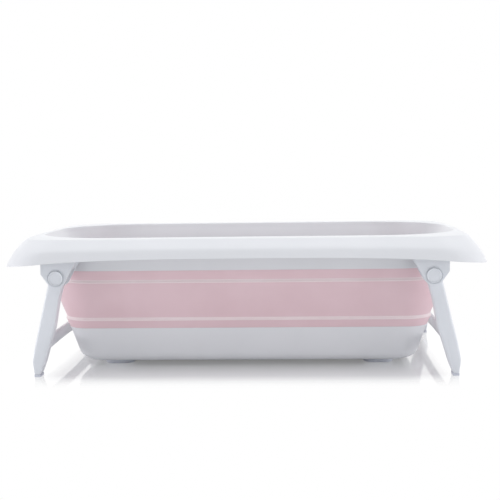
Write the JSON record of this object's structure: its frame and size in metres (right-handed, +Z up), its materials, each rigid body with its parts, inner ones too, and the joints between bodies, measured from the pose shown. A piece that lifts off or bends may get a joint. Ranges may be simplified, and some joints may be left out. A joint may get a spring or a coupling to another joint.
{
  "type": "folding baby bathtub",
  "caption": "Folding baby bathtub: a flared rigid rim and a rigid base tray joined by a soft folding wall, on hinged leg frames that swing in under the base.",
  "frame": {"origin": "on the floor, under the centre of the tub's overall box", "axes": "+X along the tub's length towards the drain end, +Y across it, +Z up"},
  "size_m": [0.82, 0.5, 0.23],
  "materials": {
    "tub_plastic": "satin white polypropylene",
    "leg_plastic": "satin white polypropylene",
    "soft_wall": "satin pale pink thermoplastic rubber",
    "drain_rubber": "satin pale pink thermoplastic rubber",
    "grip_rubber": "matt grey thermoplastic rubber",
    "steel": "plain steel"
  },
  "bodies": {
    "rim_body": {"rim": "tub_plastic", "folding_wall": "soft_wall", "bracket_front_left": "leg_plastic", "bracket_front_right": "leg_plastic", "bracket_rear_left": "leg_plastic", "bracket_rear_right": "leg_plastic", "bracket_screws": "steel", "hinge_pin_front_left": "steel", "hinge_pin_front_right": "steel", "hinge_pin_rear_left": "steel", "hinge_pin_rear_right": "steel", "pivot_cap_front_left": "leg_plastic", "pivot_cap_front_right": "leg_plastic", "pivot_cap_rear_left": "leg_plastic", "pivot_cap_rear_right": "leg_plastic"},
    "base_body": {"base_tray": "tub_plastic", "base_pad_front_left": "grip_rubber", "base_pad_front_right": "grip_rubber", "base_pad_rear_left": "grip_rubber", "base_pad_rear_right": "grip_rubber", "drain_gasket": "drain_rubber", "drain_fitting": "tub_plastic"},
    "plug": {"drain_plug": "drain_rubber"},
    "left_legs": {"left_leg_frame": "leg_plastic", "foot_pad_front_left": "grip_rubber", "foot_pad_rear_left": "grip_rubber"},
    "right_legs": {"right_leg_frame": "leg_plastic", "foot_pad_front_right": "grip_rubber", "foot_pad_rear_right": "grip_rubber"}
  },
  "joints": [
    {"name": "base_fold", "type": "slide", "parent": "rim_body", "child": "base_body", "axis": [0, 0, 1], "range_m": [0, 0.133], "deforming": ["folding_wall"]},
    {"name": "left_leg_fold", "type": "hinge", "parent": "rim_body", "child": "left_legs", "pos_m": [-0.3095, 0, 0.166], "axis": [0, -1, 0], "range_deg": [0, 86.2]},
    {"name": "right_leg_fold", "type": "hinge", "parent": "rim_body", "child": "right_legs", "pos_m": [0.3095, 0, 0.166], "axis": [0, 1, 0], "range_deg": [0, 86.2]},
    {"name": "drain_plug_lift", "type": "slide", "parent": "base_body", "child": "plug", "axis": [0, 0, 1], "range_m": [0, 0.03]}
  ],
  "couplings": [
    {"joint": "left_leg_fold", "follows": "base_fold", "rad_per_m": 11.286},
    {"joint": "right_leg_fold", "follows": "base_fold", "rad_per_m": 11.286}
  ]
}
